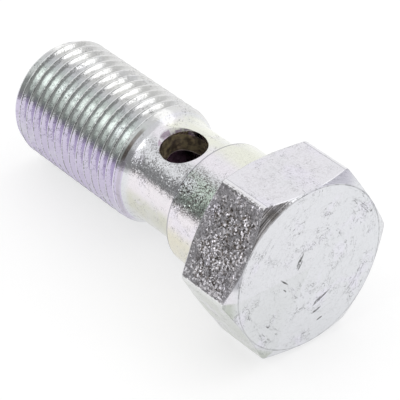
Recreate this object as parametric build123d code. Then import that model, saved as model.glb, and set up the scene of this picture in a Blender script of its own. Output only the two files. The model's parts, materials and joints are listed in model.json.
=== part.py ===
from build123d import *

import os
from math import atan2, degrees, radians, sqrt, tan

# M16x1.5 banjo bolt with a 22 mm hexagon, lying on one flat of its head and on
# the end of its thread. Lengths are in millimetres and angles in degrees.
# Heights along the bolt are measured from the bearing face, towards the tip.

# ---- driving dimensions ----

# hexagon head
HEX_ACROSS_FLATS = 22.0
HEX_CORNER_ROUNDING = 0.6         # radius of the prism's six long edges
HEAD_HEIGHT = 8.9
END_FACE_DIAMETER = 21.8
END_CHAMFER_ANGLE = 28.0          # from the plane of the end face
BEARING_FACE_DIAMETER = 22.2
BEARING_CHAMFER_ANGLE = 22.0      # from the plane of the bearing face

# shank
SHANK_LENGTH = 40.0
COLLAR_DIAMETER = 16.5
COLLAR_LENGTH = 7.8
WAIST_DIAMETER = 13.9
THREAD_DIAMETER = 16.0            # M16, plain major diameter
THREAD_START = 18.7               # where the lead-in reaches the major diameter
LEAD_IN_LENGTH = 1.3              # cone below the thread
LEAD_IN_ANGLE = 32.0              # of that cone, against the axis
HOLLOW_RADIUS = 5.0               # arc that leaves the waist and ends at the cone
TIP_CHAMFER_LENGTH = 1.3
TIP_CHAMFER_ANGLE = 30.0          # against the axis

# drillings
CROSS_HOLE_DIAMETER = 5.8
CROSS_HOLE_HEIGHT = 13.0
CROSS_HOLE_TURN = -11.7           # from the flat that faces up
COUNTERSINK_WIDTH = 0.6           # at the rim's two ends along the bolt
COUNTERSINK_ANGLE = 90.0          # included
AXIAL_BORE_DIAMETER = 7.2
AXIAL_BORE_PAST_HOLE = 1.0        # full diameter runs this far past the hole
DRILL_POINT_ANGLE = 118.0         # included
BORE_MOUTH_CHAMFER = 0.5

# ---- clearances ----

CUT_OVERRUN = 1.0                 # how far a cutter passes the face it cuts

# ---- derived dimensions ----

FLAT_RADIUS = HEX_ACROSS_FLATS / 2
CORNER_RADIUS = HEX_ACROSS_FLATS / sqrt(3)
END_FACE_RADIUS = END_FACE_DIAMETER / 2
BEARING_FACE_RADIUS = BEARING_FACE_DIAMETER / 2
COLLAR_RADIUS = COLLAR_DIAMETER / 2
WAIST_RADIUS = WAIST_DIAMETER / 2
THREAD_RADIUS = THREAD_DIAMETER / 2
CROSS_HOLE_RADIUS = CROSS_HOLE_DIAMETER / 2
AXIAL_BORE_RADIUS = AXIAL_BORE_DIAMETER / 2

TIP_CHAMFER_START = SHANK_LENGTH - TIP_CHAMFER_LENGTH
TIP_RADIUS = THREAD_RADIUS - TIP_CHAMFER_LENGTH * tan(radians(TIP_CHAMFER_ANGLE))
LEAD_IN_START = THREAD_START - LEAD_IN_LENGTH
LEAD_IN_RADIUS = THREAD_RADIUS - LEAD_IN_LENGTH * tan(radians(LEAD_IN_ANGLE))
HOLLOW_RISE = LEAD_IN_RADIUS - WAIST_RADIUS
HOLLOW_START = LEAD_IN_START - sqrt(HOLLOW_RISE * (2 * HOLLOW_RADIUS - HOLLOW_RISE))
BORE_END = CROSS_HOLE_HEIGHT - CROSS_HOLE_RADIUS - AXIAL_BORE_PAST_HOLE
BORE_POINT_DEPTH = AXIAL_BORE_RADIUS / tan(radians(DRILL_POINT_ANGLE / 2))

# Lying pose: the head touches the floor with the edge of one flat nearest the
# shank, and the shank touches it where the tip chamfer starts.
FLAT_EDGE_INSET = max(0, FLAT_RADIUS - BEARING_FACE_RADIUS)
FLAT_EDGE_DROP = FLAT_EDGE_INSET * tan(radians(BEARING_CHAMFER_ANGLE))
REST_RUN = TIP_CHAMFER_START + FLAT_EDGE_DROP
REST_RISE = FLAT_RADIUS - THREAD_RADIUS
REST_TILT = degrees(atan2(REST_RISE, REST_RUN))


def turned(points):
    """Solid of revolution about Z through (radius, height) points."""
    outline = Polyline(*points, close=True)
    return revolve(make_face(Plane.XZ * outline), Axis.Z)


def head():
    """Hexagon with both ends chamfered, its flats facing -X, +X and so on."""
    hexagon = RegularPolygon(radius=CORNER_RADIUS, side_count=6, rotation=30)
    outline = fillet(hexagon.vertices(), HEX_CORNER_ROUNDING)
    prism = Pos(0, 0, -HEAD_HEIGHT) * extrude(outline, HEAD_HEIGHT)
    reach = CORNER_RADIUS + CUT_OVERRUN
    end_drop = (reach - END_FACE_RADIUS) * tan(radians(END_CHAMFER_ANGLE))
    bearing_drop = (reach - BEARING_FACE_RADIUS) * tan(radians(BEARING_CHAMFER_ANGLE))
    envelope = turned([
        (0, -HEAD_HEIGHT),
        (END_FACE_RADIUS, -HEAD_HEIGHT),
        (reach, end_drop - HEAD_HEIGHT),
        (reach, -bearing_drop),
        (BEARING_FACE_RADIUS, 0),
        (0, 0),
    ])
    return prism & envelope


def shank():
    """Collar, waist, hollow, lead-in, thread and tip turned about Z."""
    lower = Polyline(
        (0, -HEAD_HEIGHT / 2),
        (COLLAR_RADIUS, -HEAD_HEIGHT / 2),
        (COLLAR_RADIUS, COLLAR_LENGTH),
        (WAIST_RADIUS, COLLAR_LENGTH),
        (WAIST_RADIUS, HOLLOW_START),
    )
    hollow = TangentArc(
        (WAIST_RADIUS, HOLLOW_START),
        (LEAD_IN_RADIUS, LEAD_IN_START),
        tangent=(0, 1),
    )
    upper = Polyline(
        (LEAD_IN_RADIUS, LEAD_IN_START),
        (THREAD_RADIUS, THREAD_START),
        (THREAD_RADIUS, TIP_CHAMFER_START),
        (TIP_RADIUS, SHANK_LENGTH),
        (0, SHANK_LENGTH),
        (0, -HEAD_HEIGHT / 2),
    )
    profile = make_face(Plane.XZ * (lower + hollow + upper))
    return revolve(profile, Axis.Z)


def axial_bore():
    """Blind bore from the tip to just past the cross hole."""
    point = BORE_END - BORE_POINT_DEPTH
    mouth = AXIAL_BORE_RADIUS + BORE_MOUTH_CHAMFER
    return turned([
        (0, point),
        (AXIAL_BORE_RADIUS, BORE_END),
        (AXIAL_BORE_RADIUS, SHANK_LENGTH - BORE_MOUTH_CHAMFER),
        (mouth, SHANK_LENGTH),
        (mouth, SHANK_LENGTH + CUT_OVERRUN),
        (0, SHANK_LENGTH + CUT_OVERRUN),
    ])


def countersink():
    """Cone about Z whose rim lies on the waist's crest."""
    slope = tan(radians(COUNTERSINK_ANGLE / 2))
    rim = CROSS_HOLE_RADIUS + COUNTERSINK_WIDTH
    apex = WAIST_RADIUS - rim / slope
    top = WAIST_RADIUS + CUT_OVERRUN
    return turned([(0, apex), ((top - apex) * slope, top), (0, top)])


def cross_hole():
    """Through hole across the waist with both mouths countersunk."""
    drill = Cylinder(CROSS_HOLE_RADIUS, 2 * (WAIST_RADIUS + CUT_OVERRUN))
    cutter = drill + countersink() + Rot(180, 0, 0) * countersink()
    placed = Rot(0, 0, CROSS_HOLE_TURN) * Rot(0, 90, 0) * cutter
    return Pos(0, 0, CROSS_HOLE_HEIGHT) * placed


def banjo_bolt():
    """The whole bolt about Z, its tip up and one flat facing +X."""
    return head() + shank() - axial_bore() - cross_hole()


def lying(bolt):
    """Lay the bolt down, tip towards -X, on the floor under its middle."""
    laid = Rot(0, -90 - REST_TILT, 0) * bolt
    box = laid.bounding_box()
    return Pos(-box.center().X, -box.center().Y, -box.min.Z) * laid


def main():
    bolt = lying(banjo_bolt())
    bolt.label = "banjo_bolt"
    os.makedirs("parts", exist_ok=True)
    export_step(bolt, "parts/banjo_bolt.step")


main()
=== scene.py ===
"""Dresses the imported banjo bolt: one closed detailed mesh with a real helical
thread and rounded edges replaces the plain solid, under soft studio light."""

import json
from functools import reduce
from math import atan, cos, pi, radians, sin, sqrt, tan

import bmesh
import bpy
import numpy as np
from mathutils import Matrix, Quaternion, Vector


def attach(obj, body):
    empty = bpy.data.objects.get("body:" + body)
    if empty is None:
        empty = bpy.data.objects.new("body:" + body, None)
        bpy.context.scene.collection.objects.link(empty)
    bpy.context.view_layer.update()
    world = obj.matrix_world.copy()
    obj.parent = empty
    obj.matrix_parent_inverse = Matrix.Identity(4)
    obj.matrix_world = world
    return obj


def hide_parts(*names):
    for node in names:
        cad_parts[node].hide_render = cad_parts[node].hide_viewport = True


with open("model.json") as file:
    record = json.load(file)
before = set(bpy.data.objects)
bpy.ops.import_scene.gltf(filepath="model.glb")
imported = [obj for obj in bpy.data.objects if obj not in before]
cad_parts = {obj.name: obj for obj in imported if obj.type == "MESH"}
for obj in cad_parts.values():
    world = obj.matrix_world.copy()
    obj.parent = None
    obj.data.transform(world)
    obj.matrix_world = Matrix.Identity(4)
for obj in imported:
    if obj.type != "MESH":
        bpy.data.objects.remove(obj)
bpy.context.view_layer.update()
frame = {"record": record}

MM = 0.001

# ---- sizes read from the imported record, in millimetres ----

MOUNTS = {mount["name"]: mount for mount in frame["record"]["mounts"]}


def radius_of(name):
    return MOUNTS[name]["dims"]["r_mm"]


def length_of(name):
    return MOUNTS[name]["dims"]["length_mm"]


def place_of(name):
    return Vector(MOUNTS[name]["pos_m"]) / MM


AXIS = Vector(MOUNTS["shank_thread"]["axis"])
SEAT = place_of("collar") - AXIS * (length_of("collar") / 2)


def height_of(name):
    """Height of a mount's place above the bearing face, along the bolt."""
    return (place_of(name) - SEAT).dot(AXIS)


COLLAR_R = radius_of("collar")
COLLAR_END = length_of("collar")
THREAD_R = radius_of("shank_thread")
THREAD_LOW = height_of("shank_thread") - length_of("shank_thread") / 2
THREAD_HIGH = height_of("shank_thread") + length_of("shank_thread") / 2
HOLE_R = radius_of("cross_hole")
HOLE_Z = height_of("cross_hole")
BORE_R = radius_of("axial_bore")

# ---- sizes of the rest of the solid, in millimetres; heights are along the
# ---- bolt, from the bearing face towards the tip ----

FLAT_R = 11.0                 # half the width across flats
CORNER_ROUND = 0.6            # of the hexagon's six long edges
HEAD_H = 8.9
END_FACE_R = 10.9
END_CHAMFER = radians(28)     # from the plane of the end face
BEARING_FACE_R = 11.1
BEARING_CHAMFER = radians(22)   # from the plane of the bearing face
WAIST_R = 6.95
HOLLOW_LOW = 15.872           # an arc leaves the waist here
LEAD_IN_LOW = 17.4            # and ends here, at the foot of the lead-in cone
LEAD_IN_R = 7.188             # radius of the cone's foot
TIP_Z = 40.0
TIP_R = 7.249                 # outer radius of the tip's end face
SINK_WIDTH = 0.6              # of the countersinks on the cross hole
BORE_MOUTH = 0.5              # chamfer at the mouth of the axial bore
BORE_LOW = 9.1                # the bore has its full radius down to here
BORE_POINT = 6.937            # bottom of the drill point

# ---- roundings and helper rings, in millimetres ----

EDGE_ROUND = 0.25
SEAT_ROUND = 0.15             # where the bearing face meets its chamfer
COLLAR_ROUND = 0.22           # at the collar's outer end
MOUTH_ROUND = 0.2             # inside the bore's mouth
SINK_EASE = (0.04, 0.05)      # before and past a countersink's inner edge
CUT_OVERRUN = 1.0             # how far the cutter passes the waist
HUB_R = 0.05                  # of the innermost rings, each closed by one face
CHAMFER_LEAST = 0.05          # width a chamfer keeps where the flat is nearest
SEAT_RING = 0.3               # from the collar to the ring round its foot
WAIST_RING = 2.0              # from the collar's end to the waist's first ring
MOST_CUT = 0.45               # share of a side that one rounding may take
STRAIGHT = 0.9999             # cosine at which two sides count as in line
TINY = 1e-6                   # keeps a side of no length from dividing by zero

# ---- thread: the rounded-root metric profile ----

PITCH = 1.5
SHARP_HEIGHT = PITCH * cos(pi / 6)      # of the sharp triangle behind the profile
THREAD_DEPTH = SHARP_HEIGHT * 17 / 24
ROOT_ROUND = SHARP_HEIGHT / 6
ROOT_ARC = pi / 3             # the flanks meet the root's arc at this angle
ROOT_POINTS = 5
CREST_FLAT = PITCH / 8
CREST_EASE = 0.06             # how far the crest's edges are eased
# way past the crest's edge and depth, both in units of CREST_EASE
CREST_CURVE = [(-1, 1 / tan(pi / 6)), (-0.3, 0.5), (0.4, 0.12), (1, 0)]
THREAD_BASE = LEAD_IN_LOW + 0.2         # the helical rows start here
THREAD_PHASE = 0.6            # from there to the root at angle 0
RUN_OUT_START = 18.2          # the groove fades in from here
RUN_OUT_LENGTH = 1.0
SPARE_TURNS = 2               # of rows past each end, clamped to it and welded

# ---- mesh fineness ----

FLAT_STEPS = 36
CORNER_STEPS = 8
ROUND_STEPS = 3
HOLLOW_STEPS = 10
CUTTER_STEPS = 128
WELD = 0.0005                 # millimetres
SHARP_ANGLE = radians(32)     # an edge that bends more than this is shaded sharp
NORMAL_WEIGHT = 60            # how much more large faces count in the shading

# ---- the hexagon's outline ----

SIXTH = pi / 3                # of a full turn
HALF_SIDE = SIXTH / 2         # from the middle of a flat to a corner
CORNER_CENTRE = (FLAT_R - CORNER_ROUND) / cos(HALF_SIDE)
# angle from a corner at which its rounding meets the flat
CORNER_REACH = HALF_SIDE - atan(CORNER_CENTRE * sin(HALF_SIDE) / FLAT_R)


def turn_angles():
    """Angles round the bolt, closer together at the hexagon's corners."""
    flat_end, corner_end = HALF_SIDE - CORNER_REACH, HALF_SIDE + CORNER_REACH
    sector = np.concatenate([
        np.linspace(-flat_end, flat_end, FLAT_STEPS, endpoint=False),
        np.linspace(flat_end, corner_end, CORNER_STEPS, endpoint=False),
    ])
    return np.concatenate([sector + side * SIXTH for side in range(6)])


ANGLES = turn_angles()
TURN_STEPS = len(ANGLES)


def hexagon_radius(angles):
    """Outline of the hexagon with rounded corners, as radius over angle."""
    from_flat = (angles + HALF_SIDE) % SIXTH - HALF_SIDE
    from_corner = HALF_SIDE - np.abs(from_flat)
    aside = CORNER_CENTRE * np.sin(from_corner)
    bulge = np.sqrt(np.maximum(0, CORNER_ROUND ** 2 - aside ** 2))
    arc = CORNER_CENTRE * np.cos(from_corner) + bulge
    return np.where(from_corner < CORNER_REACH, arc, FLAT_R / np.cos(from_flat))


# ---- rings of (radius, height), one pair for every angle ----

def ring(radius, height):
    return np.stack([np.broadcast_to(part, TURN_STEPS) for part in (radius, height)], 1)


def unit(way):
    """The way of every angle at length 1, and how long it was."""
    length = np.maximum(np.linalg.norm(way, axis=1), TINY)
    return way / length[:, None], length


def rounding_rings(before, here, after, rounding):
    """Rings that round one corner of a profile, as a quadratic curve."""
    back, back_length = unit(before - here)
    ahead, ahead_length = unit(after - here)
    half = np.arccos(np.clip((back * ahead).sum(1), -STRAIGHT, STRAIGHT)) / 2
    cut = np.minimum(rounding / np.tan(half), MOST_CUT * np.minimum(back_length, ahead_length))
    start, end = here + back * cut[:, None], here + ahead * cut[:, None]
    return [
        (1 - s) ** 2 * start + 2 * s * (1 - s) * here + s ** 2 * end
        for s in np.linspace(0, 1, ROUND_STEPS + 1)
    ]


def rounded(corners):
    """Rings through a profile of (radius, height, rounding) corners."""
    points = [ring(radius, height) for radius, height, _ in corners]
    rings = []
    for i, (_, _, rounding) in enumerate(corners):
        if rounding:
            rings += rounding_rings(points[i - 1], points[i], points[i + 1], rounding)
        else:
            rings.append(points[i])
    return rings


def head_rings():
    """From the middle of the end face over the collar to the waist."""
    rho = hexagon_radius(ANGLES)
    end_z = -HEAD_H + np.maximum(0, rho - END_FACE_R) * tan(END_CHAMFER)
    seat_z = -np.maximum(0, rho - BEARING_FACE_R) * tan(BEARING_CHAMFER)
    inside = rho - CHAMFER_LEAST
    return rounded([
        (HUB_R, -HEAD_H, 0),
        (END_FACE_R / 2, -HEAD_H, 0),
        (np.minimum(END_FACE_R, inside), -HEAD_H, EDGE_ROUND),
        (rho, end_z, EDGE_ROUND),
        (rho, seat_z, EDGE_ROUND),
        (np.minimum(BEARING_FACE_R, inside), 0.0, SEAT_ROUND),
        (COLLAR_R + SEAT_RING, 0.0, 0),
        (COLLAR_R, 0.0, EDGE_ROUND),
        (COLLAR_R, COLLAR_END, COLLAR_ROUND),
        (WAIST_R, COLLAR_END, EDGE_ROUND),
        (WAIST_R, COLLAR_END + WAIST_RING, 0),
    ])


def hollow_rings():
    """The arc from the waist to the foot of the lead-in."""
    rise, run = LEAD_IN_R - WAIST_R, LEAD_IN_LOW - HOLLOW_LOW
    arc = (rise ** 2 + run ** 2) / (2 * rise)
    return [
        ring(WAIST_R + arc - sqrt(arc ** 2 - z ** 2), HOLLOW_LOW + z)
        for z in np.linspace(0, run, HOLLOW_STEPS + 1)
    ]


def bore_rings():
    """Bore mouth, bore wall and drill point, from the tip inwards."""
    return rounded([
        (BORE_R + BORE_MOUTH, TIP_Z, 0),
        (BORE_R, TIP_Z - BORE_MOUTH, MOUTH_ROUND),
        (BORE_R, BORE_LOW, 0),
        (HUB_R, BORE_POINT, 0),
    ])


def thread_stations():
    """(share of the pitch, depth) corners of one turn, root to crest to root."""
    root = [
        (ROOT_ROUND * sin(turn), THREAD_DEPTH - ROOT_ROUND + ROOT_ROUND * cos(turn))
        for turn in np.linspace(0, ROOT_ARC, ROOT_POINTS)
    ]
    edge = (PITCH - CREST_FLAT) / 2
    crest = [(edge + CREST_EASE * way, CREST_EASE * depth) for way, depth in CREST_CURVE]
    half = [(z / PITCH, depth) for z, depth in root + crest]
    return half + [(1 - share, depth) for share, depth in reversed(half[1:])]


STATIONS = thread_stations()


def thread_depth(share):
    """Depth of the thread's groove at a share of the pitch."""
    shares, depths = np.array(STATIONS).T
    return np.interp(share % 1, np.append(shares, 1), np.append(depths, depths[0]))


def envelope(z):
    """Radius that the thread's crests may reach at a height."""
    lead = LEAD_IN_R + (z - LEAD_IN_LOW) * (THREAD_R - LEAD_IN_R) / (THREAD_LOW - LEAD_IN_LOW)
    tip = THREAD_R - (z - THREAD_HIGH) * (THREAD_R - TIP_R) / (TIP_Z - THREAD_HIGH)
    return np.minimum(np.minimum(lead, THREAD_R), tip)


def thread_surface(z):
    """Radius of the threaded shank at a height, for every angle."""
    share = (z - THREAD_BASE - THREAD_PHASE) / PITCH - ANGLES / (2 * pi)
    fade = np.clip((z - RUN_OUT_START) / RUN_OUT_LENGTH, 0, 1)
    fade = fade * fade * (3 - 2 * fade)
    return np.minimum(envelope(z), THREAD_R - thread_depth(share) * fade)


def thread_rings():
    """Helical rows from the lead-in to the tip, clamped to both end heights."""
    turns = int((TIP_Z - THREAD_BASE) / PITCH)
    rings = []
    for turn in range(-SPARE_TURNS, turns + SPARE_TURNS):
        for share, _ in STATIONS:
            z = THREAD_BASE + THREAD_PHASE + (turn + share + ANGLES / (2 * pi)) * PITCH
            z = np.clip(z, THREAD_BASE, TIP_Z)
            rings.append(ring(thread_surface(z), z))
    return rings


# ---- from rings to one closed mesh ----

def quads(low, high, low_next, high_next):
    """Faces between low and high points and the same two one step further round."""
    return np.stack([low, low_next, high_next, high], -1).reshape(-1, 4).tolist()


def ring_faces(ids, start, stop):
    """Faces of a closed skin over rows of points, its two ends closed by one
    face each. Rows from start to stop are helical: at the seam, such a row runs
    on in the row one turn above it."""
    turn = len(STATIONS)
    faces = quads(ids[:-1, :-1], ids[1:, :-1], ids[:-1, 1:], ids[1:, 1:])
    for low, high, rise in (
        (0, start, 0),
        (stop - 1, len(ids) - 1, 0),
        (start, stop - turn - 1, turn),
    ):
        rows = np.arange(low, high)
        ahead = rows + rise
        faces += quads(ids[rows, -1], ids[rows + 1, -1], ids[ahead, 0], ids[ahead + 1, 0])
    return faces + [ids[0][::-1].tolist(), ids[-1].tolist()]


def new_mesh(name, points, faces):
    mesh = bpy.data.meshes.new(name)
    mesh.from_pydata(points, [], faces)
    return mesh


def weld(mesh):
    """Joins the points that the clamped rows leave on top of each other."""
    shape = bmesh.new()
    shape.from_mesh(mesh)
    bmesh.ops.remove_doubles(shape, verts=shape.verts, dist=WELD)
    bmesh.ops.dissolve_degenerate(shape, edges=shape.edges, dist=WELD)
    bmesh.ops.recalc_face_normals(shape, faces=shape.faces)
    shape.to_mesh(mesh)
    shape.free()


def bolt_mesh(name):
    """The bolt without its cross hole, standing on Z, in millimetres."""
    plain = head_rings() + hollow_rings() + [ring(envelope(THREAD_BASE), THREAD_BASE)]
    helix = thread_rings()
    table = np.array(plain + helix + bore_rings())
    radius, height = table[..., 0], table[..., 1]
    points = np.stack([radius * np.cos(ANGLES), radius * np.sin(ANGLES), height], -1)
    ids = np.arange(len(table) * TURN_STEPS).reshape(len(table), TURN_STEPS)
    faces = ring_faces(ids, len(plain), len(plain) + len(helix))
    mesh = new_mesh(name, points.reshape(-1, 3).tolist(), faces)
    weld(mesh)
    return mesh


def new_object(name, data):
    thing = bpy.data.objects.new(name, data)
    bpy.context.scene.collection.objects.link(thing)
    return thing


def frame_of_bolt():
    """From the bolt's own frame to the scene's, in millimetres: its X is the way
    up, its Y the scene's Y and its Z the axis, from the bearing face to the tip."""
    across = Vector((0, 1, 0))
    turn = Matrix((across.cross(AXIS), across, AXIS)).transposed()
    return Matrix.Translation(SEAT) @ turn.to_4x4()


BOLT_FRAME = frame_of_bolt()


def hole_cutter():
    """Cross drill with a countersink at each end, along its own Z."""
    sink_foot = WAIST_R - SINK_WIDTH
    reach = WAIST_R + CUT_OVERRUN
    half = [
        (HOLE_R, 0),
        (HOLE_R, sink_foot - SINK_EASE[0]),
        (HOLE_R + SINK_EASE[1], sink_foot + SINK_EASE[1]),
        (HOLE_R + reach - sink_foot, reach),
    ]
    profile = [(r, -h) for r, h in reversed(half[1:])] + half
    turns = np.arange(CUTTER_STEPS) * 2 * pi / CUTTER_STEPS
    points = [(r * cos(turn), r * sin(turn), h) for r, h in profile for turn in turns]
    ids = np.arange(len(points)).reshape(-1, CUTTER_STEPS)
    ahead = np.roll(ids, -1, axis=1)
    faces = quads(ids[:-1], ids[1:], ahead[:-1], ahead[1:])
    faces += [ids[0][::-1].tolist(), ids[-1].tolist()]
    cutter = new_object("cutter", new_mesh("cutter", points, faces))
    across = BOLT_FRAME.inverted().to_3x3() @ Vector(MOUNTS["cross_hole"]["axis"])
    cutter.rotation_mode = "QUATERNION"
    cutter.rotation_quaternion = across.to_track_quat("Z", "Y")
    cutter.location = (0, 0, HOLE_Z)
    return cutter


def drill(piece, cutter):
    """Cuts the cutter out of the piece for good."""
    bpy.context.view_layer.update()
    cut = piece.modifiers.new("cut", "BOOLEAN")
    cut.operation, cut.solver, cut.object = "DIFFERENCE", "MANIFOLD", cutter
    graph = bpy.context.evaluated_depsgraph_get()
    drilled = bpy.data.meshes.new_from_object(piece.evaluated_get(graph))
    piece.modifiers.clear()
    piece.data = drilled
    bpy.data.objects.remove(cutter)


def build_bolt():
    bolt = new_object("banjo_bolt_body", bolt_mesh("banjo_bolt_body"))
    drill(bolt, hole_cutter())
    bolt.data.transform(Matrix.Scale(MM, 4) @ BOLT_FRAME)
    bolt.data.shade_smooth()
    bolt.data.set_sharp_from_angle(angle=SHARP_ANGLE)
    weighted = bolt.modifiers.new("weighted", "WEIGHTED_NORMAL")
    weighted.mode, weighted.weight, weighted.keep_sharp = "FACE_AREA", NORMAL_WEIGHT, True
    return bolt


bolt = build_bolt()
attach(bolt, "root")
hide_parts("banjo_bolt")


# ---- node helpers ----

def turned_to(degrees_round):
    """Direction square to a frame's Z axis, at an angle round it from X."""
    turn = radians(degrees_round)
    return Vector((cos(turn), sin(turn), 0))


def new_material(name):
    material = bpy.data.materials.new(name)
    material.use_nodes = True
    return material


class Nodes:
    """Short calls that add nodes to one tree and link them."""

    def __init__(self, tree):
        self.tree = tree

    def add(self, kind, **settings):
        node = self.tree.nodes.new(kind)
        for name, value in settings.items():
            setattr(node, name, value)
        return node

    def feed(self, socket, value):
        if isinstance(value, bpy.types.NodeSocket):
            self.tree.links.new(value, socket)
        else:
            socket.default_value = value

    def math(self, operation, *values, clamp=False):
        node = self.add("ShaderNodeMath", operation=operation, use_clamp=clamp)
        for socket, value in zip(node.inputs, values):
            self.feed(socket, value)
        return node.outputs[0]

    def product(self, *values):
        return reduce(lambda one, other: self.math("MULTIPLY", one, other), values)

    def largest(self, *values):
        return reduce(lambda one, other: self.math("MAXIMUM", one, other), values)

    def line(self, value, slope, start):
        """start + slope * value."""
        return self.math("MULTIPLY_ADD", value, slope, start)

    def vector(self, operation, *values):
        node = self.add("ShaderNodeVectorMath", operation=operation)
        for socket, value in zip(node.inputs, values):
            self.feed(socket, value)
        return node.outputs["Value" if operation in ("DOT_PRODUCT", "LENGTH") else "Vector"]

    def scaled(self, vector, factor):
        node = self.add("ShaderNodeVectorMath", operation="SCALE")
        self.feed(node.inputs[0], vector)
        self.feed(node.inputs["Scale"], factor)
        return node.outputs["Vector"]

    def split(self, vector):
        node = self.add("ShaderNodeSeparateXYZ")
        self.feed(node.inputs[0], vector)
        return node.outputs

    def smooth(self, value, low, high):
        """0 at low, 1 at high, eased between them; low may be the larger one."""
        node = self.add("ShaderNodeMapRange", interpolation_type="SMOOTHSTEP")
        for name, given in (("Value", value), ("From Min", low), ("From Max", high)):
            self.feed(node.inputs[name], given)
        return node.outputs["Result"]

    def band(self, value, low, high, ease):
        """1 between low and high, 0 outside, eased at both ends."""
        rise = self.smooth(value, low - ease, low + ease)
        return self.product(rise, self.smooth(value, high + ease, high - ease))

    def around(self, direction, towards, half, ease, margin=0.0):
        """1 within half degrees of a direction, 0 past the ease; the margin is
        taken off the cosine of the outer edge."""
        along = self.vector("DOT_PRODUCT", direction, towards)
        edge = cos(radians(min(180, half + ease))) - margin
        return self.smooth(along, edge, cos(radians(half)))

    def noise(self, vector, scale, detail=2.0, roughness=0.5, distortion=0.0, output="Fac"):
        node = self.add("ShaderNodeTexNoise", noise_dimensions="3D")
        self.feed(node.inputs["Vector"], vector)
        given = {"Scale": scale, "Detail": detail, "Roughness": roughness, "Distortion": distortion}
        for name, value in given.items():
            node.inputs[name].default_value = value
        return node.outputs[output]

    def cells(self, vector, scale):
        """A random colour for every cell of a Voronoi pattern."""
        node = self.add("ShaderNodeTexVoronoi")
        self.feed(node.inputs["Vector"], vector)
        node.inputs["Scale"].default_value = scale
        return node.outputs["Color"]

    def mix(self, share, first, second):
        """The first colour, with a share of the second over it."""
        node = self.add("ShaderNodeMix", data_type="RGBA")
        inputs = {socket.identifier: socket for socket in node.inputs}
        self.feed(inputs["Factor_Float"], share)
        self.feed(inputs["A_Color"], first)
        self.feed(inputs["B_Color"], second)
        return next(socket for socket in node.outputs if socket.identifier == "Result_Color")

    def bump(self, height, distance, normal):
        node = self.add("ShaderNodeBump")
        node.inputs["Distance"].default_value = distance
        self.feed(node.inputs["Height"], height)
        self.feed(node.inputs["Normal"], normal)
        return node.outputs["Normal"]


# ---- plating: colours ----

ZINC = (0.74, 0.75, 0.775, 1)
# the cross hole's wall: partly the plating's dull colour, partly painted shade inside the hole
HOLE_DULL = (0.52, 0.45, 0.27, 1)
HOLE_SHADE = (0.16, 0.13, 0.10, 1)
ROUGHNESS = 0.13
HOLE_METAL_LOSS = 0.45        # how much less metallic the cross hole's wall is

# colour of each layer on the plating, and how much of it covers what lies below
LAYERS = {
    "lilac film": ((0.82, 0.79, 0.90), 1.0),
    "worn crest": ((0.86, 0.86, 0.88), 0.6),
    "crest shadow": ((0.18, 0.19, 0.18), 1.0),
    "scratches": ((0.12, 0.12, 0.13), 1.0),
    "turned lines": ((0.16, 0.15, 0.15), 0.8),
    "rim line": ((0.16, 0.16, 0.17), 1.0),
    "dents": ((0.06, 0.06, 0.06), 1.0),
    "collar edge": ((0.22, 0.22, 0.26), 0.6),
    "worn corners": ((0.88, 0.88, 0.89), 0.6),
    "corner lines": ((0.30, 0.30, 0.32), 0.35),
    "bearing lip": ((0.30, 0.30, 0.32), 0.6),
    "purple film": ((0.50, 0.42, 0.50), 1.0),
    "bore lip": ((0.85, 0.80, 0.70), 1.0),
    "bore wall": ((0.34, 0.28, 0.32), 1.0),
    "specks": ((0.15, 0.13, 0.12), 0.95),
    "blotches": ((0.10, 0.085, 0.07), 0.9),
}

# iridescent tints of the passivation, partly painted light and shade: on some
# sides they are set lighter or darker by how light falls there: angle round the
# bolt (0 is the flat that faces up), half width and ease in degrees, lowest and
# highest height and ease in millimetres, colour
TINTS_AND_PAINTED_LIGHT = [
    (262, 26, 18, 17.7, 39.9, 0.05, (0.62, 0.57, 0.72)),
    (318, 14, 12, 18.0, 39.9, 0.05, (0.72, 0.76, 0.74)),
    (25, 30, 20, 18.0, 39.9, 0.05, (0.74, 0.74, 0.73)),
    (313, 6, 14, 0.2, 7.8, 0.4, (0.52, 0.61, 0.54)),
    (284, 10, 8, 0.0, 17.0, 0.6, (0.84, 0.80, 0.83)),
    (246, 20, 14, 0.0, 7.8, 0.6, (0.80, 0.77, 0.65)),
    # painted shade: the waist's lower side is darker, as a painted reflection of the floor's shadow
    (246, 20, 14, 8.0, 17.0, 0.6, (0.70, 0.70, 0.61)),
    (354, 12, 10, 0.0, 17.5, 0.6, (0.84, 0.81, 0.86)),
    (28, 26, 14, 0.0, 17.5, 0.6, (0.84, 0.85, 0.75)),
    (0, 30, 2, -8.7, -0.2, 0.4, (0.80, 0.79, 0.83)),
    (300, 30, 2, -8.7, -0.2, 0.4, (0.76, 0.74, 0.78)),
    # painted shade: the flat that faces down towards the floor is darker
    (240, 30, 2, -8.7, -0.2, 0.4, (0.52, 0.55, 0.50)),
    # painted shade: a dark line at the deep root of the run-out
    (316, 12, 10, 18.0, 18.4, 0.06, (0.24, 0.21, 0.19)),
    (268, 26, 12, 17.85, 18.25, 0.08, (0.54, 0.50, 0.58)),
]
# the same on the end chamfer, as painted shade on the parts of it that lie in shade, with the
# passivation's hues: angle, half width, ease, colour
CHAMFER_TINTS_AND_SHADE = [
    (322, 14, 12, (0.56, 0.54, 0.55)),
    (331, 1, 3, (0.34, 0.32, 0.31)),
    (15, 12, 14, (0.57, 0.56, 0.63)),
    (292, 8, 6, (0.42, 0.42, 0.45)),
]

# ---- plating: where each layer lies, in millimetres ----

# where a mask starts and where it is full, as heights along the bolt
ON_HEAD = (0.1, -0.1)
TO_COLLAR_END = (COLLAR_END, COLLAR_END - 0.1)    # head and collar
ON_THREAD = (THREAD_LOW - 1, THREAD_LOW)
ON_END_FACE = (-HEAD_H + 0.2, -HEAD_H + 0.05)
NEAR_END_FACE = (-HEAD_H + 0.4, -HEAD_H + 0.2)
PAST_COLLAR = (COLLAR_END - 1, COLLAR_END)
BELOW_THREAD = (HOLE_Z + 4.5, HOLE_Z + 4.0)
PAST_SEAT = (2, 3)
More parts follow.
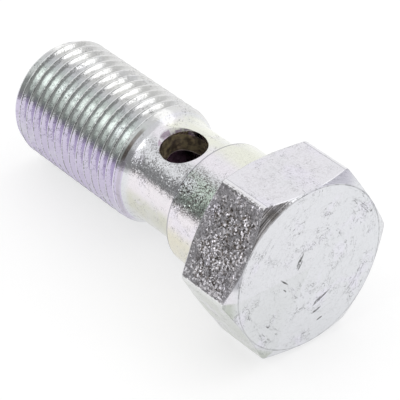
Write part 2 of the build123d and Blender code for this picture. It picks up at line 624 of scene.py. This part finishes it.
# the same as distances from the axis
CORNER_STRIP_R = 12.51        # just inside the rounding of the six corners
AT_CORNER = (CORNER_STRIP_R, CORNER_STRIP_R + 0.02)
OFF_CORNER = (12.35, 11.75)
PAST_END_FACE = (END_FACE_R, END_FACE_R + 0.15)
AT_BEARING_LIP = (BEARING_FACE_R - 0.3, BEARING_FACE_R - 0.2)
IN_SINK = (WAIST_R - 0.02, WAIST_R - 0.12)
IN_HOLE = (WAIST_R - 0.7, WAIST_R - 0.9)
IN_BORE = (BORE_R + 0.1, BORE_R + 0.02)
# the same as distance from the cone of the end chamfer
ON_CONE = (0.03, 0.012)
# the same as the cosine between the surface's normal and the axis
FACING_TIP = (0.1, 0.4)
# both ends of a band and the ease there, as heights or distances from the axis
COLLAR_EDGE = (COLLAR_END - 0.3, COLLAR_END + 0.04, 0.05)
HEAD_MIDDLE = (-7.6, -1.5, 0.8)
RIM_LINE = (END_FACE_R - 0.05, END_FACE_R + 0.05, 0.08)
CORNER_SHADE_LINE = (CORNER_STRIP_R - 0.07, CORNER_STRIP_R - 0.01, 0.01)
BORE_LIP_HIGHLIGHT = (BORE_R + 0.02, BORE_R + 0.14, 0.03)
# the same as shares of the pitch, where the crest's middle is at a half
CREST_HIGHLIGHT = (0.48, 0.53, 0.015)
CREST_SHADOW = (0.415, 0.465, 0.012)
# angle round the bolt, half width and ease in degrees
CREST_SHADOW_SIDE = (280, 60, 25)
SHADED_SIDE_OF_TURNED_LINES = (322, 22, 14)

# ---- plating: patterns; scales are per millimetre ----

# scale, detail, roughness and distortion of the noise behind each kind of
# cloud, and the values of that noise at which the cloud starts and is full
CLOUDS = {
    "tint": ((0.22, 3.0, 0.55), 0.10, 0.55),
    "lilac film": ((0.3, 2.0, 0.5, 0.4), 0.50, 0.75),
    "crest shadow": ((3.5, 3.0, 0.7), 0.42, 0.56),
    "scratched": ((0.3, 1.0), 0.40, 0.58),
    "rim line": ((0.9, 4.0, 0.65), 0.50, 0.58),
    "dents": ((6.0, 3.0, 0.7), 0.36, 0.52),
    "purple film": ((1.6, 3.0, 0.6), 0.42, 0.55),
    "hole mottle": ((1.2, 3.0, 0.6), 0.35, 0.65),
    "grain clumps": ((0.6, 2.0, 0.5), 0.35, 0.65),
    "blotches": ((1.9, 4.0, 0.7), 0.52, 0.60),
}
# slope and start of a straight line from a mask to the strength that it gives
SCRATCHES_IN_CLOUD = (0.75, 0.25)
RIM_LINE_IN_CLOUD = (0.5, 0.4)

# scratches lie where a noise field crosses its middle value
SCRATCH_MIDDLE = 0.5
SCRATCH_WANDER = (3.0, 0.6, 0.6)        # detail, roughness and distortion
SCRATCH_GAPS = 0.7            # scale of their gaps against their own
SCRATCH_PRESENT = (0.49, 0.58)          # values of that noise, start and full
# scale, and how far from the middle value a line reaches
HAIRLINES = [(0.9, 0.010), (1.9, 0.012)]
ARCS = (1.4, 0.014)
ARC_STRETCH = (1, 1.6, 0)     # of the (distance from the axis, angle) they lie in
# concentric tool marks: scale, detail, roughness, and stretch as for the arcs
LATHE = (5.5, 2.0, 0.6)
LATHE_STRETCH = (1, 0.15, 0)
LATHE_LINES = (0.50, 0.55)
# dents on the end face: both ends, as the way up and the way to the side from
# its middle, and the greatest half width
DENTS = [
    ((-5.83, 0.45), (-4.57, 3.18), 0.17),
    ((-5.52, 0.62), (-4.85, 2.05), 0.10),
    ((-6.92, 0.30), (-6.50, 1.88), 0.17),
    ((-8.29, 1.19), (-8.08, 2.14), 0.13),
    ((0.82, -2.09), (2.65, -1.02), 0.19),
    ((1.15, -2.12), (2.35, -1.42), 0.09),
    ((0.55, -1.95), (1.75, -1.15), 0.14),
    ((0.40, -4.54), (-0.86, -3.30), 0.13),
    ((-1.14, -4.09), (-1.74, -3.62), 0.10),
]

# values that differ from part to part of the bolt
LILAC_SHARE = {"head": 0.5, "collar": 0.5, "waist": 0.5, "thread": 0.1}
GRAIN_FINENESS = {"head": 1.0, "collar": 1.5, "waist": 1.5, "thread": 1.5}
GRAIN_LEAN = {"head": 0.95, "collar": 0.6, "waist": 0.4, "thread": 0.2}
GRAIN_TONE = {"head": 1.0, "collar": 1.0, "waist": 0.4, "thread": 0.25}

# crystalline grain
GRAIN_SIDE = 315              # angle round the bolt of the side it is strong on
GRAIN_FACING = (0.90, 0.965)  # cosines to that side where it starts and is full
GRAIN_LEAST = 0.1             # its strength everywhere else
GRAIN_WARP_SCALE = 2.2
GRAIN_WARP = 0.2              # how far that noise moves the cells' borders
CELL_SCALE = 5.0
CELL_TILT = 0.6
CELL_MIDDLE = (0.5, 0.5, 0.5)
SPECK_TONES = (0.6, 0.15)     # random values at which a cell turns dark
GLINT_TONES = (0.75, 0.9)     # and at which it leans further
# slope and start, as above, of how far the cells lean and how much they are toned
GLINT_LEAN = (1.2, 0.75)
CLUMPED_LEAN = (0.7, 0.3)
CALM_LEAN = (-0.45, 1.0)      # near the rims of the head's flats
CALM_TONE = (-0.5, 1.0)
CLUMPED_TONE = (0.4, 0.65)
MIDDLE_TONE = (1.4, 1.0)      # for clumps in the middle of those flats

# relief
CHAMFER_CUT = (7.0, 0.25)     # slope and start of the tool marks' depth
MARK_DEPTH = 0.6              # of scratches and dents, against the unevenness
UNEVEN = (2.6, 2.0, 0.6)
RELIEF_DEPTH = 0.012 * MM


class Plating(Nodes):
    """The bolt's zinc plating. Its layers go on one over the other, each laid
    out in the bolt's own frame, in millimetres along and round its axis."""

    def __init__(self, name):
        self.material = new_material(name)
        super().__init__(self.material.node_tree)
        self.shader = self.tree.nodes["Principled BSDF"]
        self.colour = ZINC
        self.find_place()
        self.find_parts()

    def find_place(self):
        """Where a point lies on the bolt: height, distance, angle and direction."""
        mapping = self.add("ShaderNodeMapping", vector_type="TEXTURE")
        self.feed(mapping.inputs["Vector"], self.add("ShaderNodeTexCoord").outputs["Object"])
        mapping.inputs["Location"].default_value = SEAT * MM
        mapping.inputs["Rotation"].default_value = BOLT_FRAME.to_euler()
        mapping.inputs["Scale"].default_value = (MM, MM, MM)
        self.spot = mapping.outputs["Vector"]
        axes = self.split(self.spot)
        self.height = axes["Z"]
        self.turned = self.math("ARCTAN2", axes["Y"], axes["X"])
        level = self.vector("MULTIPLY", self.spot, (1, 1, 0))
        self.outwards = self.vector("NORMALIZE", level)
        self.away = self.vector("LENGTH", level)
        self.normal = self.add("ShaderNodeNewGeometry").outputs["Normal"]

    def find_parts(self):
        """Masks for the bolt's parts, and the tool marks that two layers share."""
        self.on_head = self.smooth(self.height, *ON_HEAD)
        self.to_collar_end = self.smooth(self.height, *TO_COLLAR_END)
        self.on_thread = self.smooth(self.height, *ON_THREAD)
        self.on_end_face = self.smooth(self.height, *ON_END_FACE)
        cone_start = END_FACE_R * tan(END_CHAMFER) + HEAD_H
        above_cone = self.line(self.away, -tan(END_CHAMFER), cone_start)
        off_cone = self.math("ABSOLUTE", self.math("ADD", above_cone, self.height))
        past_face = self.smooth(self.away, *PAST_END_FACE)
        self.on_chamfer = self.product(self.smooth(off_cone, *ON_CONE), past_face)
        self.lathe = self.noise(self.polar(LATHE_STRETCH), *LATHE)
        past_collar = self.smooth(self.height, *PAST_COLLAR)
        below_thread = self.smooth(self.height, *BELOW_THREAD)
        self.on_waist = self.product(past_collar, below_thread)
        self.in_hole = self.product(self.smooth(self.away, *IN_HOLE), self.on_waist)

    def polar(self, stretch):
        """(Distance from the axis, angle round it), each stretched."""
        node = self.add("ShaderNodeCombineXYZ")
        self.feed(node.inputs["X"], self.away)
        self.feed(node.inputs["Y"], self.turned)
        return self.vector("MULTIPLY", node.outputs[0], stretch)

    def by_part(self, values):
        """A value for each part of the bolt, eased from one to the next."""
        collar = values["collar"]
        waist = values["waist"]
        value = self.line(self.to_collar_end, collar - waist, waist)
        value = self.line(self.on_head, values["head"] - collar, value)
        return self.line(self.on_thread, values["thread"] - waist, value)

    def cloud(self, kind):
        """1 in the clouds of one of CLOUDS, 0 between them."""
        field, low, high = CLOUDS[kind]
        return self.smooth(self.noise(self.spot, *field), low, high)

    def side(self, turn, half, ease):
        """1 on the side of the bolt at an angle round it."""
        return self.around(self.outwards, turned_to(turn), half, ease)

    def tint(self, colour, share):
        """Lays a colour over what is there, where share is 1."""
        self.colour = self.mix(share, self.colour, (*colour, 1))

    def paint(self, layer, *shares):
        """Lays one of LAYERS over what is there, by the product of the shares."""
        colour, strength = LAYERS[layer]
        self.tint(colour, self.product(*shares, strength))

    def lay_tints_and_painted_light(self):
        cloud = self.cloud("tint")
        # the tints are partly painted light and shade, lighter or darker by side
        for turn, half, ease, low, high, soft, colour in TINTS_AND_PAINTED_LIGHT:
            here = self.band(self.height, low, high, soft)
            self.tint(colour, self.product(self.side(turn, half, ease), here, cloud))
        # painted shade on the end chamfer
        for turn, half, ease, colour in CHAMFER_TINTS_AND_SHADE:
            self.tint(colour, self.product(self.side(turn, half, ease), self.on_chamfer))
        self.paint("lilac film", self.cloud("lilac film"), self.by_part(LILAC_SHARE))

    def paint_thread_light(self):
        """Painted highlights along the crests, and a painted shade line on the side of the head."""
        start = (THREAD_BASE + THREAD_PHASE) / PITCH
        risen = self.line(self.height, 1 / PITCH, -start)
        share = self.math("FRACT", self.line(self.turned, -1 / (2 * pi), risen))
        # painted highlight along the thread's crests
        self.paint("worn crest", self.band(share, *CREST_HIGHLIGHT), self.on_thread)
        shadow = self.product(self.band(share, *CREST_SHADOW), self.on_thread)
        here = self.side(*CREST_SHADOW_SIDE)
        self.paint("crest shadow", shadow, here, self.cloud("crest shadow"))

    def scratches(self, vector, scale, width):
        """Thin wandering lines, in a few places, across a field of noise."""
        field = self.noise(vector, scale, *SCRATCH_WANDER)
        off_line = self.math("ABSOLUTE", self.math("SUBTRACT", field, SCRATCH_MIDDLE))
        here = self.smooth(self.noise(vector, scale * SCRATCH_GAPS), *SCRATCH_PRESENT)
        return self.product(self.smooth(off_line, width, 0.0), here)

    def dent(self, start, end, half_width):
        """1 on a short tapering line between two places of the end face."""
        start, end = Vector((*start, -HEAD_H)), Vector((*end, -HEAD_H))
        along = end - start
        offset = self.vector("SUBTRACT", self.spot, start)
        reached = self.vector("DOT_PRODUCT", offset, along)
        share = self.math("DIVIDE", reached, along.length_squared, clamp=True)
        away = self.vector("LENGTH", self.vector("SUBTRACT", offset, self.scaled(along, share)))
        taper = self.product(self.math("SUBTRACT", 1.0, share), share)
        half_here = self.product(self.math("SQRT", taper), 2 * half_width)
        return self.smooth(self.math("SUBTRACT", half_here, away), 0.0, half_width / 2)

    def mark_end(self):
        """Scratches, tool marks and dents on the end face and its chamfer; the tool marks are
        darkened as painted shade on the chamfer's shaded side.
        """
        hairs = [self.scratches(self.spot, *hairline) for hairline in HAIRLINES]
        arcs = self.product(self.scratches(self.polar(ARC_STRETCH), *ARCS), self.on_end_face)
        in_cloud = self.line(self.cloud("scratched"), *SCRATCHES_IN_CLOUD)
        self.marks = self.product(self.largest(*hairs, arcs), in_cloud)
        self.paint("scratches", self.marks)
        lines = self.smooth(self.lathe, *LATHE_LINES)
        # real tool marks, darkened only on the chamfer's side in shade: painted shade
        self.paint("turned lines", lines, self.on_chamfer, self.side(*SHADED_SIDE_OF_TURNED_LINES))
        rim = self.product(self.band(self.away, *RIM_LINE), self.smooth(self.height, *NEAR_END_FACE))
        self.paint("rim line", rim, self.line(self.cloud("rim line"), *RIM_LINE_IN_CLOUD))
        dents = [self.dent(*given) for given in DENTS]
        self.dents = self.product(self.largest(*dents), self.cloud("dents"))
        self.paint("dents", self.dents, self.on_end_face)

    def paint_edges(self):
        """Painted highlights on the six corners, each with a fine painted shade line beside it, and
        darker rims at the collar's end and the bearing face.
        """
        self.paint("collar edge", self.band(self.height, *COLLAR_EDGE))
        # painted highlight on the six rounded corners, then a painted shade line beside it
        self.paint("worn corners", self.smooth(self.away, *AT_CORNER), self.on_head)
        self.paint("corner lines", self.band(self.away, *CORNER_SHADE_LINE), self.on_head)
        facing = self.smooth(self.vector("DOT_PRODUCT", self.normal, AXIS), *FACING_TIP)
        lip = self.smooth(self.away, *AT_BEARING_LIP)
        self.paint("bearing lip", facing, self.on_head, lip)

    def colour_and_shade_drillings(self):
        in_sink = self.smooth(self.away, *IN_SINK)
        self.paint("purple film", in_sink, self.on_waist, self.cloud("purple film"))
        # the cross hole's wall, mottled dull colour and painted shade
        wall = self.mix(self.cloud("hole mottle"), HOLE_DULL, HOLE_SHADE)
        self.colour = self.mix(self.in_hole, self.colour, wall)
        # painted highlight along the edge where the cross hole meets the axial bore
        self.paint("bore lip", self.band(self.away, *BORE_LIP_HIGHLIGHT), self.in_hole)
        # painted shade inside the axial bore
        in_bore = self.smooth(self.away, *IN_BORE)
        self.paint("bore wall", in_bore, self.smooth(self.height, *PAST_SEAT))

    def grain_cells(self):
        """A random colour for every crystal, by the fineness of the part."""
        warp = self.noise(self.spot, GRAIN_WARP_SCALE, output="Color")
        warped = self.vector("MULTIPLY_ADD", warp, (GRAIN_WARP,) * 3, self.spot)
        return self.cells(self.scaled(warped, self.by_part(GRAIN_FINENESS)), CELL_SCALE)

    def grow_grain(self):
        """Crystalline grain, strong on one side, calm near the flats' rims."""
        cell = self.grain_cells()
        towards = BOLT_FRAME.to_3x3() @ turned_to(GRAIN_SIDE)
        facing = self.smooth(self.vector("DOT_PRODUCT", self.normal, towards), *GRAIN_FACING)
        strength = self.line(facing, 1 - GRAIN_LEAST, GRAIN_LEAST)
        clumps = self.cloud("grain clumps")
        off_corner = self.smooth(self.away, *OFF_CORNER)
        middle = self.product(off_corner, self.band(self.height, *HEAD_MIDDLE))
        calm = self.product(self.on_head, self.math("SUBTRACT", 1.0, middle))
        self.tone_grain(cell, strength, clumps, middle, calm)
        self.lean_grain(cell, strength, clumps, calm)

    def tone_grain(self, cell, strength, clumps, middle, calm):
        """The cells differ in tone, from brown to pale."""
        toned = self.product(self.by_part(GRAIN_TONE), self.line(clumps, *CLUMPED_TONE))
        toned = self.product(toned, self.line(calm, *CALM_TONE))
        raised = self.line(self.product(middle, clumps), *MIDDLE_TONE)
        toned = self.product(strength, self.math("MULTIPLY", toned, raised, clamp=True))
        self.paint("specks", self.smooth(self.split(cell)["X"], *SPECK_TONES), toned)
        self.paint("blotches", self.cloud("blotches"), middle, self.on_head, toned)

    def lean_grain(self, cell, strength, clumps, calm):
        """Every cell leans its own way, and some lean further and glint."""
        lean = self.product(self.line(clumps, *CLUMPED_LEAN), strength, self.by_part(GRAIN_LEAN))
        lean = self.product(lean, self.line(calm, *CALM_LEAN))
        glint = self.line(self.smooth(self.split(cell)["Y"], *GLINT_TONES), *GLINT_LEAN)
        way = self.vector("SUBTRACT", cell, CELL_MIDDLE)
        leaning = self.scaled(way, self.product(lean, glint, CELL_TILT))
        self.normal = self.vector("NORMALIZE", self.vector("ADD", self.normal, leaning))

    def raise_relief(self):
        """Tool marks on the end face and its chamfer, fine unevenness elsewhere."""
        depth = self.line(self.on_chamfer, *CHAMFER_CUT)
        cut = self.product(self.lathe, depth, self.largest(self.on_chamfer, self.on_end_face))
        relief = self.math("ADD", cut, self.noise(self.spot, *UNEVEN))
        sunk = self.product(self.largest(self.marks, self.dents), MARK_DEPTH)
        relief = self.math("SUBTRACT", relief, sunk)
        self.normal = self.bump(relief, RELIEF_DEPTH, self.normal)

    def finish(self):
        self.shader.inputs["Roughness"].default_value = ROUGHNESS
        self.feed(self.shader.inputs["Metallic"], self.line(self.in_hole, -HOLE_METAL_LOSS, 1.0))
        self.feed(self.shader.inputs["Base Color"], self.colour)
        self.feed(self.shader.inputs["Normal"], self.normal)
        return self.material


def zinc_plating():
    plating = Plating("zinc_plate")
    plating.lay_tints_and_painted_light()
    plating.paint_thread_light()
    plating.mark_end()
    plating.paint_edges()
    plating.colour_and_shade_drillings()
    plating.grow_grain()
    plating.raise_relief()
    return plating.finish()


bolt.data.materials.clear()
bolt.data.materials.append(zinc_plating())

# ---- floor, light and camera ----

WHITE = (1, 1, 1, 1)
FLOOR_HALF = 1.5              # metres
FLOOR_GREY = (0.5, 0.5, 0.5, 1)
FLOOR_GLOW = 0.6              # added on seen rays to the light of the sky
SKY = 0.28                    # level between the patches
EDGE = 0.001                  # keeps a patch that goes all round from dividing by zero
# azimuth (0 is the way the camera looks, positive to its left), half width,
# softness, lowest and highest elevation, softness, all in degrees, and level
SKY_PATCHES = [
    (0, 180, 0, 36, 120, 10, 0.76),
    (98, 27, 12, 22, 120, 7, 0.98),
    (-13, 65, 12, -40, 120, 5, 0.98),
    (-90, 26, 8, -10, 40, 6, 0.68),
    (-45, 35, 20, 40, 75, 10, 1.35),
    (-106, 10, 5, 2, 34, 5, 1.6),
    (118, 18, 12, 40, 70, 8, 1.85),
    (127, 24, 6, -5, 6, 4, 0.72),
]

FOCUS = Vector((3.576, 0.375, 8.245)) * MM        # what the camera looks at
AZIMUTH, ELEVATION, ROLL = 49.08, 38.795, 3.056   # degrees
DISTANCE = 303.18 * MM
SENSOR_MM, LENS_MM = 36, 222.6
CLIP_NEAR, CLIP_FAR = 0.01, 10          # metres
LOOKS_ALONG = AZIMUTH + 90    # the way the camera looks, as an angle from X


def seen_ray(nodes):
    """1 on camera, glossy and transmission rays."""
    path = nodes.add("ShaderNodeLightPath").outputs
    return nodes.largest(*(path[f"Is {kind} Ray"] for kind in ("Camera", "Glossy", "Transmission")))


def paper():
    """Matt grey that glows on seen rays, so that it shows white with a shadow."""
    material = new_material("paper")
    nodes = Nodes(material.node_tree)
    inputs = nodes.tree.nodes["Principled BSDF"].inputs
    inputs["Base Color"].default_value = FLOOR_GREY
    inputs["Roughness"].default_value = 1.0
    inputs["Specular IOR Level"].default_value = 0.0
    inputs["Emission Color"].default_value = WHITE
    nodes.feed(inputs["Emission Strength"], nodes.product(seen_ray(nodes), FLOOR_GLOW))
    return material


def make_floor():
    corners = [(-1, -1), (1, -1), (1, 1), (-1, 1)]
    points = [(x * FLOOR_HALF, y * FLOOR_HALF, 0) for x, y in corners]
    floor = new_object("floor", new_mesh("floor", points, [(0, 1, 2, 3)]))
    floor.data.materials.append(paper())


def make_world():
    """Sky of soft level patches; where two overlap, the brighter one shows."""
    world = bpy.data.worlds.new("studio")
    bpy.context.scene.world = world
    world.use_nodes = True
    nodes = Nodes(world.node_tree)
    way = nodes.add("ShaderNodeTexCoord").outputs["Generated"]
    level_way = nodes.vector("NORMALIZE", nodes.vector("MULTIPLY", way, (1, 1, 0)))
    lift = nodes.math("ARCSINE", nodes.vector("DOT_PRODUCT", way, (0, 0, 1)))
    total = SKY
    for azimuth, half, soft, low, high, ease, level in SKY_PATCHES:
        wide = nodes.around(level_way, turned_to(LOOKS_ALONG + azimuth), half, soft, EDGE)
        tall = nodes.band(lift, radians(low), radians(high), radians(ease))
        total = nodes.largest(total, nodes.product(wide, tall, level))
    inputs = nodes.tree.nodes["Background"].inputs
    inputs["Color"].default_value = WHITE
    nodes.feed(inputs["Strength"], total)


def make_camera():
    azimuth, elevation = radians(AZIMUTH), radians(ELEVATION)
    level = cos(elevation)
    back = Vector((sin(azimuth) * level, -cos(azimuth) * level, sin(elevation)))
    lens = bpy.data.cameras.new("camera")
    lens.sensor_width, lens.lens = SENSOR_MM, LENS_MM
    lens.clip_start, lens.clip_end = CLIP_NEAR, CLIP_FAR
    camera = new_object("camera", lens)
    camera.rotation_mode = "QUATERNION"
    roll = Quaternion((0, 0, 1), radians(ROLL))
    camera.rotation_quaternion = (-back).to_track_quat("-Z", "Y") @ roll
    camera.location = FOCUS + back * DISTANCE
    bpy.context.scene.camera = camera


make_floor()
make_world()
make_camera()
bpy.context.scene.view_settings.view_transform = "Standard"
